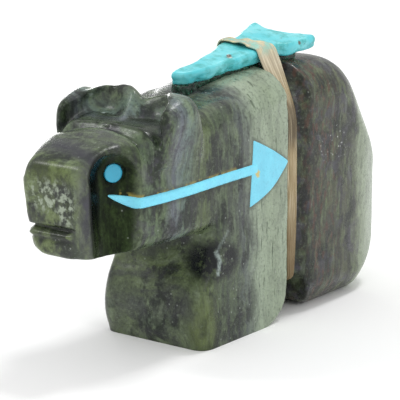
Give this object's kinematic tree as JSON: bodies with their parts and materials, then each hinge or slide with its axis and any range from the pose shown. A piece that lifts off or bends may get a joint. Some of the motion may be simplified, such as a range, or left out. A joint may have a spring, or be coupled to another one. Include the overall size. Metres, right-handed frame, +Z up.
{
  "type": "carved bear fetish figurine",
  "caption": "Polished serpentine bear figurine with turquoise eye and heartline inlays and a turquoise arrowhead tied on its back with sinew.",
  "frame": {"origin": "on the floor plane under the rear part of the front leg block, midway across the bear", "axes": "+Z up, -Y towards the muzzle, +Y towards the rump, +X towards the bear's left side"},
  "size_m": [0.0196, 0.0674, 0.0399],
  "materials": {
    "serpentine": "polished, mottled and banded green stone",
    "sky_turquoise": "satin sky blue turquoise",
    "sea_turquoise": "satin green-blue turquoise",
    "sinew_fibre": "dry fibrous sinew"
  },
  "bodies": {
    "root": {"bear_body": "serpentine", "eye_left": "sky_turquoise", "eye_right": "sky_turquoise", "heartline_shaft_left": "sky_turquoise", "heartline_shaft_right": "sky_turquoise", "heartline_point_left": "sky_turquoise", "heartline_point_right": "sky_turquoise", "offering_arrowhead": "sea_turquoise", "sinew_wrap": "sinew_fibre"}
  },
  "joints": []
}
